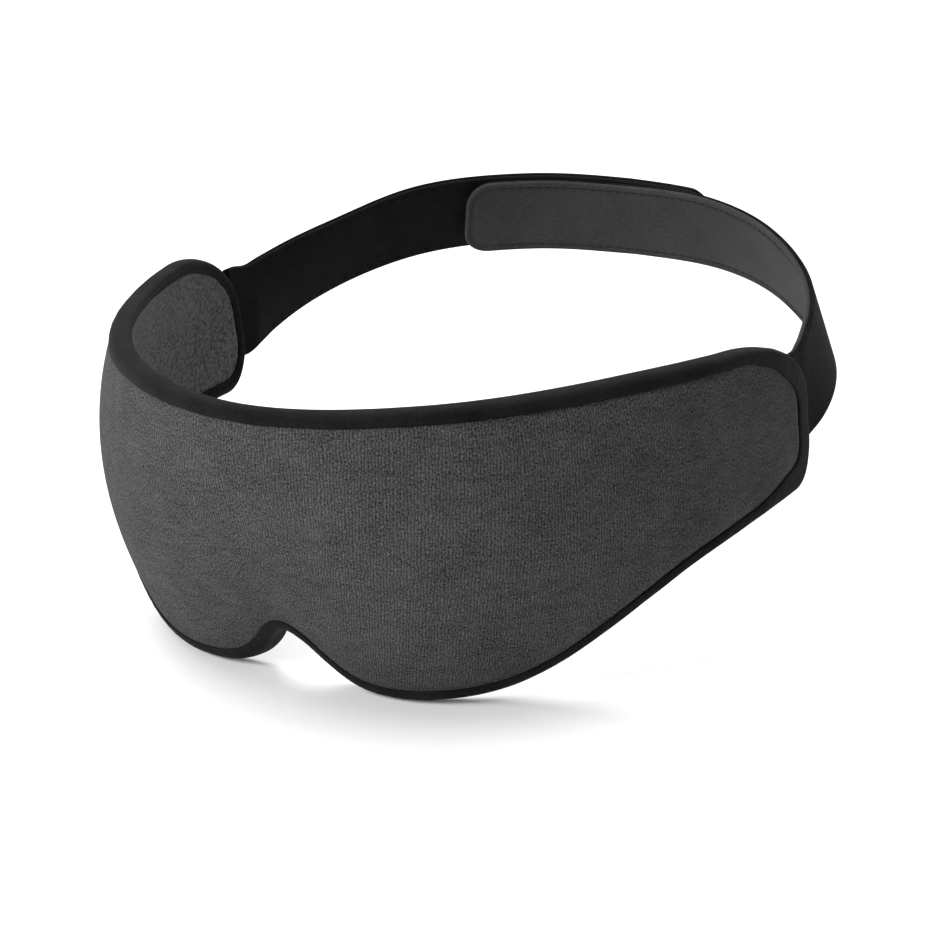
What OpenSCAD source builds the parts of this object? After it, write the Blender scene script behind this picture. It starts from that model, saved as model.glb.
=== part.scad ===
// Sleep eye mask: a contoured padded mask with two straps that close with hook and loop.
// +X is the wearer's left when the mask faces the viewer, -Y is the front of the mask, +Z is up.
// The origin is the middle of the head opening, at the height where the straps leave the mask.

/* [Mask shape] */
// Half width of the mask at the temples
temple_r = 89; // [84:1:94]
// Depth from the temples forward to the brow
brow_depth = 129; // [122:1:136]
// Angle from the front centre to each end, in degrees
end_angle = 89.5; // [88:0.25:90]
// How far the lower edge tucks in towards the nose
nose_tuck = 34; // [28:1:36]
// How far the lower edge flares out at the temples
temple_flare = 16; // [10:1:17]
// How much further the left end's lower corner turns in
left_turn = 56; // [50:2:64]
// How much further back the left end's lower half reaches
left_reach = 2.5; // [1.5:0.5:3]
// How much taller the left end is, as a share of its height
left_growth = 0.085; // [0.05:0.005:0.1]
// Length of the upper corners along the edge
upper_reach = 39; // [35:1:42]
// Height of the upper corners
upper_drop = 20; // [18:0.5:20]
// Radius of the lower corners at the ends
lower_corner = 12.5; // [11:0.5:13]

/* [Layers] */
// Thickness of the mask at its edge
edge_t = 5.2; // [5:0.1:6]
// Extra padding over the nose bridge
nose_extra = 2.8; // [2:0.2:4]
// Height of the soft rim round each eye hollow
rim_h = 5; // [4:0.5:6]
// Thickness of the cover, lining and binding fabric
fabric_t = 0.85; // [0.7:0.05:0.85]
// Width of the binding on the front face at the nose
front_lip = 3.2; // [2.5:0.1:3.5]
// How much wider that binding is at the ends
lip_growth = 3.8; // [2:0.1:4]
// Width of the binding on the back face
back_lip = 3.4; // [2.5:0.1:3.5]

/* [Strap] */
// Width of the straps
strap_w = 25; // [22:0.5:25]
// Thickness of one layer of strap
layer_t = 1.2; // [1:0.05:1.2]
// Radius of the strap loop behind the head
loop_r = 83.5; // [82:0.5:84]
// Gap between the two straps where they overlap
overlap_gap = 0.8; // [0.8:0.1:1]
// Angle from the right temple to the end of the grey tab
tab_end = 126; // [118:1:127]
// Angle from the right temple to the line where the tab peels
tab_hinge = 97; // [94:1:100]
// Angle from the left temple to the end of the black tip
tip_end = 109; // [106:1:112]
// Angle from the left temple to the line where the tip lifts
tip_hinge = 95; // [93:1:97]

/* [Hidden] */

// Heights of the two long edges, as [angle from the front centre, z]
top_edge = [[0, 20.6], [28, 21.6], [55, 22], [72, 20.9], [90, 18.4]];
bottom_edge = [
  [0, -41.2], [4, -43.5], [9, -48.9], [14, -53.1], [19, -55.2], [25, -55.7], [31, -55.3],
  [38, -53.7], [43, -51], [48, -46], [53, -39], [58, -32.2], [64, -26.2], [72, -22.3],
  [80, -20.6], [90, -19.9]
];
// Lean of the wall over its height, and how far its middle bows out, against the angle
datum_z = 15;
datum_h = 76;
wall_lean = [[0, -nose_tuck], [30, -18], [60, -8], [90, temple_flare]];
wall_bow = [[0, 7], [30, 7], [60, 8], [90, -4]];
// Millimetres along the wall for each degree at the temples
end_mm = brow_depth * PI / 180;
upper_angle = end_angle - upper_reach / end_mm;
lower_angle = end_angle - lower_corner / end_mm;

// Depths of the layers below the front face
layer_gap = 0.4;
film_out = fabric_t + layer_gap;
film_in = film_out + 0.25;
core_out = film_in + 0.1;
core_in = edge_t - fabric_t - layer_gap;
pad_out = core_in + 0.3;
slot_out = 2.9;
slot_in = 4.35;
tail_out = 3;
tail_in = 4.2;
wall_t = 1;
wall_inset = wall_t + 0.7;
seam_gap = 0.5;
round_in = 0.6;

// Eye hollows: centre, half width and half height of the rim's crest, and its spread
eye_angle = 26;
eye_z = -16;
eye_a = 25;
eye_b = 19;
rim_spread = 0.5;
rim_reach = 0.8;
rim_air = 0.5;
eye_mm = 1.7;

// Nose padding: its half angle and the wall heights between which it fades in
nose_angle = 26;
nose_low = 0.3;
nose_span = 0.4;

// Strap loop: its centre line, its height and its inward lean against the angle from the temple
loop_y = 2.2;
root_r = 86.2;
left_root_r = 85.1;
strap_rise = [[-20, -7], [0, 0], [22.5, 8.4], [45, 16.9], [67.5, 20.2], [90, 20.8]];
strap_lean = [[0, 5], [8, 11], [20, 17], [30, 19.5], [40, 20.5], [60, 24.5], [90, 26]];
left_lean = 7;
strap_bulge = 1.6;
tab_drop = 1.2;
skin_gap = 0.05;
hook_t = 0.7;
lap_half = overlap_gap / 2;
left_track = loop_r + lap_half + layer_t * 1.5 + skin_gap;
right_track = loop_r - lap_half - hook_t - skin_gap - layer_t / 2;
left_ramp = 42;
right_ramp = 56;
hinge_gap = 0.56;
root_from = 0.55;
root_to = 3.45;
strap_from = 4.55;
stitch_l = 2.8;
stitch_w = 0.6;
stitch_t = 0.3;
stitch_pitch = 4.4;
seam_air = 0.7;
nose_air = 0.55;

// A smooth curve through knots [x, y]
function seg(k, x, i = 0) = (i >= len(k) - 2 || x < k[i + 1][0]) ? i : seg(k, x, i + 1);
function rate(k, i) =
  i == 0 ? 0
  : i == len(k) - 1 ? (k[i][1] - k[i - 1][1]) / (k[i][0] - k[i - 1][0])
  : (k[i + 1][1] - k[i - 1][1]) / (k[i + 1][0] - k[i - 1][0]);
function curve(k, x) =
  let (i = seg(k, x), h = k[i + 1][0] - k[i][0], t = (x - k[i][0]) / h)
  (2 * t ^ 3 - 3 * t ^ 2 + 1) * k[i][1] + (t ^ 3 - 2 * t ^ 2 + t) * h * rate(k, i)
  + (3 * t ^ 2 - 2 * t ^ 3) * k[i + 1][1] + (t ^ 3 - t ^ 2) * h * rate(k, i + 1);
function ease(t) = let (c = max(0, min(1, t))) c * c * (3 - 2 * c);
function mm_per_deg(a) = PI / 180 * norm([temple_r * cos(a), brow_depth * sin(a)]);

// A point of the mask: angle a from the front centre, height z, depth d below the front face
function wall(a, z, d) =
  let (
    s = min(90, abs(a)),
    h = (datum_z - z) / datum_h,
    n = [brow_depth * sin(a), -temple_r * cos(a)],
    turn = a < 0 ? left_turn * max(0, h) ^ 3 * ease((s - 62) / 28) : 0,
    out = curve(wall_lean, s) * h + curve(wall_bow, s) * (1 - (2 * h - 1) ^ 2) - turn - d,
    back = a < 0 ? left_reach * ease((s - 55) / 35) * ease((7.5 - z) / 19) : 0,
    growth = a < 0 ? left_growth * ease((s - 55) / 30) : 0,
    p = [temple_r * sin(a), back - brow_depth * cos(a)] + n / norm(n) * out
  )
  [p[0], p[1], z * (1 + growth)];

// Top and bottom of the mask at angle a, drawn in from the edge by i
function lean_factor(k, a) =
  norm([1, (curve(k, a + 0.5) - curve(k, a - 0.5)) / mm_per_deg(a)]);
upper_centre = curve(top_edge, upper_angle) - upper_drop;
lower_centre = curve(bottom_edge, lower_angle) + lower_corner;
function top_z(a, i) =
  abs(a) < upper_angle ? curve(top_edge, abs(a)) - i * lean_factor(top_edge, abs(a))
  : let (x = (abs(a) - upper_angle) * end_mm / (upper_reach - i))
    upper_centre + (upper_drop - i) * sqrt(max(0, 1 - x * x));
function bottom_z(a, i) =
  abs(a) < lower_angle ? curve(bottom_edge, abs(a)) + i * lean_factor(bottom_edge, abs(a))
  : lower_centre - sqrt(max(0, (lower_corner - i) ^ 2 - ((abs(a) - lower_angle) * end_mm) ^ 2));
function lip(a) = front_lip + lip_growth * ease((abs(a) - 74) / 14);

// Padding below the flat layers: over the nose, and in a rim round each eye
function nose(a, z) =
  nose_extra * max(0, 1 - (a / nose_angle) ^ 2) ^ 2
  * ease(((datum_z - z) / datum_h - nose_low) / nose_span);
function rim(a, z) =
  let (r = norm([(abs(a) - eye_angle) * eye_mm / eye_a, (z - eye_z) / eye_b]))
  rim_h * max(0, 1 - ((r - 1) / rim_spread) ^ 2) ^ 2;
function full_t(a, z) = edge_t + nose(a, z) + rim(a, z);

// Stations across the mask, closer together at the nose and at the ends
function spread(t, pull) = t - pull / (2 * PI) * sin(360 * t);
function stations(n, last, pull) = [for (j = [0:n - 1]) last * spread(2 * j / (n - 1) - 1, pull)];

// A closed solid through rings of points. Point i of a ring faces point n-1-i across the thickness.
function quad(a, b, c, d) = [[a, b, c], [a, c, d]];
module loft(rings, closed = false) {
  n = len(rings[0]);
  c = len(rings);
  sides = [
    for (j = [0:c - (closed ? 1 : 2)]) for (i = [0:n - 1])
      let (k = (j + 1) % c, i2 = (i + 1) % n)
        each i < n / 2 ? quad(j * n + i, k * n + i, k * n + i2, j * n + i2)
          : quad(k * n + i, k * n + i2, j * n + i2, j * n + i)
  ];
  last = (c - 1) * n;
  caps = closed ? [] : [
    for (i = [0:n / 2 - 2]) each concat(
      quad(i, i + 1, n - 2 - i, n - 1 - i),
      quad(last + i + 1, last + i, last + n - 1 - i, last + n - 2 - i)
    )
  ];
  polyhedron([for (r = rings) each r], concat(sides, caps));
}

// A layer of the mask between two depths
module layer(cols, rows, inset, outer, inner, pull = 0.7) {
  last = end_angle - inset(90) / end_mm;
  v = [for (k = [0:rows - 1]) k / (rows - 1)];
  loft([
    for (a = stations(cols, last, pull))
      let (t = top_z(a, inset(a)), b = bottom_z(a, inset(a)), zs = [for (k = v) t + (b - t) * k])
        concat(
          [for (z = zs) wall(a, z, outer(a, z))],
          [for (k = [rows - 1:-1:0]) wall(a, zs[k], inner(a, zs[k]))]
        )
  ]);
}

// A point of the outline, drawn in by i: s is the side, zone 0 top, 1 upper corner, 2 lower corner, 3 bottom
function edge_point(st, i) =
  let (s = st[0], zone = st[1], v = st[2])
  zone == 1 ? [
    s * (upper_angle + (upper_reach - i) * cos(v) / end_mm),
    upper_centre + (upper_drop - i) * sin(v)
  ]
  : zone == 2 ? [
    s * (lower_angle + (lower_corner - i) * cos(v) / end_mm),
    lower_centre + (lower_corner - i) * sin(v)
  ]
  : let (
    k = zone == 0 ? top_edge : bottom_edge,
    m = mm_per_deg(v),
    g = (curve(k, v + 0.5) - curve(k, v - 0.5)) / m,
    f = i / norm([1, g]),
    up = zone == 0 ? -1 : 1
  ) [s * (v - up * g * f / m), curve(k, v) + up * f];
function on_edge(st, i, d) = let (p = edge_point(st, i)) wall(p[0], p[1], d);
function lip_at(st) = lip(edge_point(st, lip(edge_point(st, 0)[0]))[0]);
function edge_thick(st) = let (p = edge_point(st, 0)) edge_t + nose(p[0], p[1]);

// Angles on the corners where the strap leaves the edge
slot_half = strap_w / 2 + 0.35;
upper_slot = asin((slot_half - upper_centre) / upper_drop);
lower_slot = -asin((slot_half + lower_centre) / lower_corner);
function run(n, from, to) = [for (j = [0:n]) from + (to - from) * j / n];
function flip(list) = [for (j = [len(list) - 1:-1:0]) list[j]];
function side_run(s, zone, list) = [for (v = list) [s, zone, v]];
top_half = run(22, 0, upper_angle);
bottom_half = [for (t = run(44, 0, 1)) lower_angle * (t - 0.12 * sin(180 * t))];
top_path = concat(
  side_run(-1, 1, run(7, upper_slot, 84)), side_run(-1, 0, flip(top_half)),
  side_run(1, 0, [for (j = [1:22]) top_half[j]]), side_run(1, 1, run(7, 84, upper_slot))
);
bottom_path = concat(
  side_run(-1, 2, run(6, lower_slot, -84)), side_run(-1, 3, flip(bottom_half)),
  side_run(1, 3, [for (j = [1:44]) bottom_half[j]]), side_run(1, 2, run(6, -84, lower_slot))
);

// The binding folds round the edge: front lip, edge wall and back lip
module binding(path) loft([
  for (st = path)
    let (f = lip_at(st), t = edge_thick(st), w = wall_t, b = t - fabric_t, r = round_in) [
      on_edge(st, f, 0), on_edge(st, r, 0), on_edge(st, 0, r),
      on_edge(st, 0, t - r), on_edge(st, r, t), on_edge(st, back_lip, t),
      on_edge(st, back_lip, b), on_edge(st, w + 0.3, b), on_edge(st, w, b - 0.3),
      on_edge(st, w, fabric_t + 0.3), on_edge(st, w + 0.3, fabric_t), on_edge(st, f, fabric_t)
    ]
]);
// At the ends it is open between the front half and the back half, where the strap passes
module end_binding(s) {
  path = concat(side_run(s, 1, run(5, upper_slot, 0)), side_run(s, 2, run(2, 0, lower_slot)));
  way = s > 0 ? path : flip(path);
  loft([
    for (st = way) let (f = lip_at(st), w = wall_t) [
      on_edge(st, f, 0), on_edge(st, round_in, 0), on_edge(st, 0, round_in), on_edge(st, 0, slot_out),
      on_edge(st, w, slot_out), on_edge(st, w, fabric_t + 0.3), on_edge(st, w + 0.3, fabric_t),
      on_edge(st, f, fabric_t)
    ]
  ]);
  loft([
    for (st = way) [
      on_edge(st, 0, slot_in), on_edge(st, 0, edge_t), on_edge(st, back_lip, edge_t),
      on_edge(st, back_lip, slot_in)
    ]
  ]);
}

// A short thread at point p, on a face that looks along the direction az and leans back by tilt
module thread(p, az, tilt = 0, up = false) translate(p) rotate([0, tilt, az])
  cube(up ? [stitch_t, stitch_w, stitch_l] : [stitch_t, stitch_l, stitch_w], center = true);
function normal_az(a) = atan2(-temple_r * cos(a), brow_depth * sin(a));
// How far the wall leans outwards as it falls, in degrees
function wall_tilt(a, z) =
  let (p = wall(a, z + 1, 0), q = wall(a, z - 1, 0), n = normal_az(a))
  atan(((q[0] - p[0]) * cos(n) + (q[1] - p[1]) * sin(n)) / 2);

// The strap's line: distance from the loop's centre at angle q from the temple
function track(q, right) =
  right ? root_r + (right_track - root_r) * ease(q / right_ramp)
    + strap_bulge * ease(q / 26) * (1 - ease((q - 26) / 20))
  : left_root_r + (left_track - left_root_r) * ease(q / left_ramp);
function fold(q) = q > 90 ? 180 - q : q;
function strap_tilt(q, right) =
  curve(strap_lean, fold(q)) - (right ? 0 : left_lean * (1 - ease(q / 30)));
function drop(q) = tab_drop * ease((q - 62) / 36);
// A point of a strap: angle q, distance w up from its middle, distance d out from its webbing's middle
function band(q, w, d, right) =
  let (
    t = strap_tilt(q, right),
    reach = track(q, right) + d * cos(t) - w * sin(t)
  ) [
    reach * cos(q), loop_y + reach * sin(q) + (right ? 0 : left_reach * (1 - ease(q / left_ramp))),
    curve(strap_rise, fold(q)) - (right ? drop(q) : 0) + w * cos(t) + d * sin(t)
  ];
// A strip of strap between two angles and two depths, with one end's corners rounded by c
module strip(from, to, inner, outer, right, n, c = 0, margin = 0) {
  half = strap_w / 2 - margin;
  mm = loop_r * PI / 180;
  // The steps get shorter through the rounded corners
  body_end = to - c / mm;
  qs = c == 0 ? run(n, from, to)
    : concat(run(n, from, body_end), [for (v = run(5, 0, 1)) if (v > 0) body_end + c / mm * sin(90 * v)]);
  loft([
    for (q = qs)
      let (e = max(0, c - (to - q) * mm), k = c == 0 ? 0 : c - sqrt(max(0, c * c - e * e)), h = half - k)
        concat(
          [for (w = [-h, 0, h]) band(q, w, outer, right)],
          [for (w = [h, 0, -h]) band(q, w, inner, right)]
        )
  ]);
}
// Rows of stitches on the face that touches the head
module strap_threads(from, to, right, rows, d) {
  step = stitch_pitch / loop_r * 180 / PI;
  for (w = rows) for (q = [from:step:to]) {
    p = band(q, w, d, right);
    thread(p, q, -strap_tilt(q, right));
  }
}
module on_side(right) {
  if (right) children();
  else mirror([1, 0, 0]) children();
}
face_d = -1.5 * layer_t - skin_gap - stitch_t / 2 - 0.25;
row_w = strap_w / 2 - 2;

module front_cover() color("#4c4c4c")
  layer(61, 11, function (a) lip(a) + seam_gap, function (a, z) 0, function (a, z) fabric_t, 0.3);

module blackout_layer() color("#101010")
  layer(57, 11, function (a) wall_inset, function (a, z) film_out, function (a, z) film_in, 0.3);

module foam_core() color("#8f8f86")
  layer(
    57, 11, function (a) wall_inset, function (a, z) core_out,
    function (a, z) core_in - (core_in - slot_out) * ease((abs(a) - 79) / 2), 0.3
  );

module eye_cushion(s) color("#9a9a90") {
  steps = 30;
  reach = rim_spread * rim_reach;
  radii = [for (j = [0:4]) 1 - reach + 2 * reach * j / 4];
  loft([
    for (i = [0:steps - 1])
      let (t = 360 * i / steps) concat(
        [
          for (r = radii)
            let (a = s * (eye_angle + r * eye_a * cos(t) / eye_mm), z = eye_z + r * eye_b * sin(t))
              wall(a, z, pad_out + nose(a, z))
        ],
        [
          for (r = flip(radii))
            let (a = s * (eye_angle + r * eye_a * cos(t) / eye_mm), z = eye_z + r * eye_b * sin(t))
              wall(a, z, pad_out + nose(a, z) + max(0.1, rim(a, z) - rim_air))
        ]
      )
  ], closed = true);
}
module left_eye_cushion() eye_cushion(-1);
module right_eye_cushion() eye_cushion(1);

module nose_pad() color("#a3a398") {
  high_z = -24;
  rows = 6;
  loft([
    for (a = run(16, -20, 20))
      let (b = bottom_z(a, wall_inset + 0.1), zs = run(rows, high_z, b)) concat(
        [for (z = zs) wall(a, z, pad_out)],
        [for (z = flip(zs)) wall(a, z, pad_out + max(0.12, nose(a, z) - 0.1))]
      )
  ]);
}

module inner_lining() color("#5e5e5e")
  layer(
    77, 16, function (a) back_lip + seam_gap, function (a, z) full_t(a, z) - fabric_t,
    function (a, z) full_t(a, z), 0.2
  );

module top_binding() color("#161616") binding(top_path);
module bottom_binding() color("#161616") binding(bottom_path);
module left_end_binding() color("#161616") end_binding(-1);
module right_end_binding() color("#161616") end_binding(1);

module binding_stitching() color("#0c0c0c") {
  seam_in = back_lip - 1.1;
  for (s = [-1, 1]) for (row = [[0, top_edge, upper_angle - 2], [3, bottom_edge, lower_angle - 2]])
    for (a = [3:3.1:row[2]]) {
      st = [s, row[0], a];
      p = edge_point(st, seam_in);
      air = seam_air + nose_air * (1 - ease((a - 20) / 10)) * (row[0] == 3 ? 1 : 0);
      thread(wall(p[0], p[1], edge_thick(st) + air), normal_az(p[0]), -wall_tilt(p[0], p[1]));
    }
}

module strap_anchor(s) color("#1a1a1a") loft([
  for (a = s > 0 ? run(8, 82, 90.6) : run(8, -90.6, -82))
    let (zs = run(4, strap_w / 2, -strap_w / 2)) concat(
      [for (z = zs) wall(a, z, tail_out)],
      [for (z = flip(zs)) wall(a, z, tail_in)]
    )
]);
module left_strap_anchor() strap_anchor(-1);
module right_strap_anchor() strap_anchor(1);

// Threads through the back lip that hold the strap's tail
module anchor_stitching(s) color("#0c0c0c")
  for (v = run(2, upper_slot, 6)) {
    p = edge_point([s, 1, v], back_lip - 1.1);
    thread(wall(p[0], p[1], edge_t + seam_air), normal_az(p[0]), -wall_tilt(p[0], p[1]), true);
  }
module left_anchor_stitching() anchor_stitching(-1);
module right_anchor_stitching() anchor_stitching(1);

// The strap's folded end, sewn through both layers
lining_in = -1.5 * layer_t - skin_gap;
lining_out = -0.5 * layer_t - skin_gap;
web_out = 0.5 * layer_t;
module left_strap_root() color("#1a1a1a")
  on_side(false) strip(root_from, root_to, lining_in, web_out, false, 2);
module right_strap_root() color("#1a1a1a")
  on_side(true) strip(root_from, root_to, lining_in, web_out, true, 2);

module left_strap_webbing() color("#161616")
  on_side(false) strip(strap_from, tip_hinge - hinge_gap, -web_out, web_out, false, 40);
module left_strap_loop_lining() color("#202020")
  on_side(false) strip(strap_from, tip_hinge - hinge_gap, lining_in, lining_out, false, 40);
module left_strap_stitching() color("#0c0c0c")
  on_side(false) strap_threads(strap_from + 3, 50, false, [-row_w, row_w], face_d);

module left_tip_webbing() color("#161616")
  on_side(false) strip(tip_hinge + hinge_gap, tip_end, -web_out, web_out, false, 3, 6);
module left_tip_loop_lining() color("#202020")
  on_side(false) strip(tip_hinge + hinge_gap, tip_end, lining_in, lining_out, false, 3, 6);
// A row of threads across the outer face of the tip
module left_tip_stitching() color("#0c0c0c") on_side(false)
  for (w = run(3, -6.6, 6.6))
    thread(band(tip_end - 3, w, web_out + 0.17, false), tip_end - 3, -strap_tilt(tip_end - 3, false), true);

module right_strap_webbing() color("#141414")
  on_side(true) strip(strap_from, tab_hinge - hinge_gap, -web_out, web_out, true, 40);
module right_strap_lining() color("#424242")
  on_side(true) strip(strap_from, tab_hinge - hinge_gap, lining_in, lining_out, true, 40);
module right_strap_stitching() color("#2c2c2c")
  on_side(true) strap_threads(strap_from + 2, tab_hinge - 3, true, [-row_w, row_w], face_d);

module right_tab_webbing() color("#141414")
  on_side(true) strip(tab_hinge + hinge_gap, tab_end, -web_out, web_out, true, 5, 8);
module right_tab_lining() color("#424242")
  on_side(true) strip(tab_hinge + hinge_gap, tab_end, lining_in, lining_out, true, 5, 8);
module hook_patch() color("#0e0e0e") on_side(true)
  strip(tab_hinge + 3, tab_end - 2, web_out + skin_gap, web_out + skin_gap + hook_t, true, 5, 6, 2.5);
module right_tab_stitching() color("#2c2c2c")
  on_side(true) strap_threads(tab_hinge + 3, tab_end - 6, true, [-row_w, row_w], face_d);

front_cover();
blackout_layer();
foam_core();
left_eye_cushion();
right_eye_cushion();
nose_pad();
inner_lining();
top_binding();
bottom_binding();
left_end_binding();
right_end_binding();
binding_stitching();
left_strap_anchor();
right_strap_anchor();
left_anchor_stitching();
right_anchor_stitching();
left_strap_root();
right_strap_root();
left_strap_webbing();
left_strap_loop_lining();
left_strap_stitching();
left_tip_webbing();
left_tip_loop_lining();
left_tip_stitching();
right_strap_webbing();
right_strap_lining();
right_strap_stitching();
right_tab_webbing();
right_tab_lining();
hook_patch();
right_tab_stitching();
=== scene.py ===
"""Looks of the sleep eye mask: a padded mask in ribbed jersey with a bound edge, and two straps
that close with hook and loop. The formulas for the wall and the straps are those of the CAD part,
in millimetres; meshes are made in metres."""

import math

import bmesh
import bpy
import numpy as np
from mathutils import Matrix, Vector


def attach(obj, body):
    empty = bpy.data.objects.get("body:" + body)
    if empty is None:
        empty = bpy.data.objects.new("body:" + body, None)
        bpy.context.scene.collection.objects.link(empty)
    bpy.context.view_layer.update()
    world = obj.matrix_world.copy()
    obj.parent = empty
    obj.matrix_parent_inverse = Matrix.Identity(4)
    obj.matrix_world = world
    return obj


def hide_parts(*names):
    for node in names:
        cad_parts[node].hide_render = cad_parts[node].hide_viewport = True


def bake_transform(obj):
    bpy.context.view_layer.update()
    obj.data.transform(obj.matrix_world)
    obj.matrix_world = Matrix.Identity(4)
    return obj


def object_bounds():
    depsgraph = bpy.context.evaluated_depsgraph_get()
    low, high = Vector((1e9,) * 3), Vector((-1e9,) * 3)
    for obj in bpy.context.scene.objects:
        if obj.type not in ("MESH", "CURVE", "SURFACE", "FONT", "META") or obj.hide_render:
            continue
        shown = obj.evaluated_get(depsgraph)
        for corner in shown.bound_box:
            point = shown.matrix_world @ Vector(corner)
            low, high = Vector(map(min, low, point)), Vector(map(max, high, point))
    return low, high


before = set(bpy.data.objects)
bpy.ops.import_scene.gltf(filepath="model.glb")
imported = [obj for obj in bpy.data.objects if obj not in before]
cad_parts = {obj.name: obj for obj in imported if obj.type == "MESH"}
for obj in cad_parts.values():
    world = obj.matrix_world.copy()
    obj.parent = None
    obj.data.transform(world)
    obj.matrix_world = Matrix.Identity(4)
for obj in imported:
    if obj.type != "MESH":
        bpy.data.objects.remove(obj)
CAD_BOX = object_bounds()
MM = 0.001
SEED = 7

# ---------------------------------------------------------------- shape of the mask, in millimetres
TEMPLE_R, BROW_DEPTH, END_ANGLE = 89.0, 129.0, 89.5
UPPER_REACH, UPPER_DROP, LOWER_CORNER = 39.0, 20.0, 12.5
# The left end turns in at its lower corner, reaches further back below REACH_TOP, and is taller.
# Each change starts at an angle and is complete after a span.
LEFT_TURN, TURN_FROM, TURN_SPAN = 56.0, 62, 28
LEFT_REACH, REACH_FROM, REACH_SPAN, REACH_TOP, REACH_FALL = 2.5, 55, 35, 7.5, 19
LEFT_GROWTH, GROWTH_FROM, GROWTH_SPAN = 0.085, 55, 30
EDGE_T, BACK_LIP = 5.2, 3.4
FRONT_LIP, LIP_GROWTH, LIP_FROM, LIP_SPAN = 3.2, 3.8, 74, 14
NOSE_EXTRA, NOSE_ANGLE, NOSE_LOW, NOSE_SPAN = 2.8, 26.0, 0.3, 0.4
RIM_H, EYE_ANGLE, EYE_Z, EYE_A, EYE_B, RIM_SPREAD, EYE_MM = 5.0, 26.0, -16.0, 25.0, 19.0, 0.5, 1.7
DATUM_Z, DATUM_H = 15.0, 76.0
TOP_EDGE = [(0, 20.6), (28, 21.6), (55, 22), (72, 20.9), (90, 18.4)]
BOTTOM_EDGE = [(0, -41.2), (4, -43.5), (9, -48.9), (14, -53.1), (19, -55.2), (25, -55.7), (31, -55.3),
               (38, -53.7), (43, -51), (48, -46), (53, -39), (58, -32.2), (64, -26.2), (72, -22.3),
               (80, -20.6), (90, -19.9)]
WALL_LEAN = [(0, -34), (30, -18), (60, -8), (90, 16)]
WALL_BOW = [(0, 7), (30, 7), (60, 8), (90, -4)]
END_MM = BROW_DEPTH * math.pi / 180
UPPER_ANGLE = END_ANGLE - UPPER_REACH / END_MM
LOWER_ANGLE = END_ANGLE - LOWER_CORNER / END_MM
FILM_OUT, FILM_IN, CORE_OUT, CORE_IN, PAD_OUT, SLOT_OUT = 1.25, 1.5, 1.6, 3.95, 4.25, 2.9

# ---------------------------------------------------------------- shape of the straps
STRAP_W, LAYER_T, LOOP_R, OVERLAP_GAP, HOOK_T = 25.0, 1.2, 83.5, 0.8, 0.7
ROOT_R, LEFT_ROOT_R, LOOP_Y = 86.2, 85.1, 2.2
LEFT_LEAN, LEAN_SPAN, STRAP_BULGE, BULGE_AT, BULGE_FALL = 7.0, 30, 1.6, 26, 20
TAB_DROP, DROP_FROM, DROP_SPAN = 1.2, 62, 36
STRAP_RISE = [(-20, -7), (0, 0), (22.5, 8.4), (45, 16.9), (67.5, 20.2), (90, 20.8)]
STRAP_LEAN = [(0, 5), (8, 11), (20, 17), (30, 19.5), (40, 20.5), (60, 24.5), (90, 26)]
LEFT_TRACK = LOOP_R + OVERLAP_GAP / 2 + 1.5 * LAYER_T + 0.05
RIGHT_TRACK = LOOP_R - OVERLAP_GAP / 2 - HOOK_T - 0.05 - LAYER_T / 2
LEFT_RAMP, RIGHT_RAMP = 42.0, 56.0
TAB_END, TAB_HINGE, TIP_END, TIP_HINGE = 126.0, 97.0, 109.0, 95.0
ROOT_MIDDLE, FOLD_ANGLE, SEAM_DEPTH, STRAP_SPLIT = 2.0, 4.0, 3.5, 40.0
STRAP_MM = LOOP_R * math.pi / 180


def curve(knots, x):
    """The CAD part's smooth curve through knots."""
    kx, ky = np.array(knots, float).T
    slope = np.zeros(len(kx))
    slope[1:-1] = (ky[2:] - ky[:-2]) / (kx[2:] - kx[:-2])
    slope[-1] = (ky[-1] - ky[-2]) / (kx[-1] - kx[-2])
    x = np.asarray(x, float)
    i = np.clip(np.searchsorted(kx, x, side="right") - 1, 0, len(kx) - 2)
    h = kx[i + 1] - kx[i]
    t = (x - kx[i]) / h
    return ((2 * t**3 - 3 * t**2 + 1) * ky[i] + (t**3 - 2 * t**2 + t) * h * slope[i]
            + (3 * t**2 - 2 * t**3) * ky[i + 1] + (t**3 - t**2) * h * slope[i + 1])


def ease(t):
    c = np.clip(t, 0, 1)
    return c * c * (3 - 2 * c)


def mm_per_deg(a):
    r = np.radians(a)
    return math.pi / 180 * np.hypot(TEMPLE_R * np.cos(r), BROW_DEPTH * np.sin(r))


def wall(a, z, d):
    """A point of the mask: angle a from the front centre, height z, depth d below the front face."""
    a, z, d = np.broadcast_arrays(np.asarray(a, float), z, d)
    r, s = np.radians(a), np.minimum(90, np.abs(a))
    h = (DATUM_Z - z) / DATUM_H
    nx, ny = BROW_DEPTH * np.sin(r), -TEMPLE_R * np.cos(r)
    size = np.hypot(nx, ny)
    turn = LEFT_TURN * np.maximum(0, h) ** 3 * ease((s - TURN_FROM) / TURN_SPAN)
    back = LEFT_REACH * ease((s - REACH_FROM) / REACH_SPAN) * ease((REACH_TOP - z) / REACH_FALL)
    growth = LEFT_GROWTH * ease((s - GROWTH_FROM) / GROWTH_SPAN)
    turn, back, growth = (np.where(a < 0, change, 0) for change in (turn, back, growth))
    out = curve(WALL_LEAN, s) * h + curve(WALL_BOW, s) * (1 - (2 * h - 1) ** 2) - turn - d
    return np.stack([TEMPLE_R * np.sin(r) + nx / size * out,
                     back - BROW_DEPTH * np.cos(r) + ny / size * out, z * (1 + growth)], -1)


def lean_factor(knots, a):
    return np.hypot(1, (curve(knots, a + 0.5) - curve(knots, a - 0.5)) / mm_per_deg(a))


UPPER_CENTRE = float(curve(TOP_EDGE, UPPER_ANGLE)) - UPPER_DROP
LOWER_CENTRE = float(curve(BOTTOM_EDGE, LOWER_ANGLE)) + LOWER_CORNER


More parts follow.
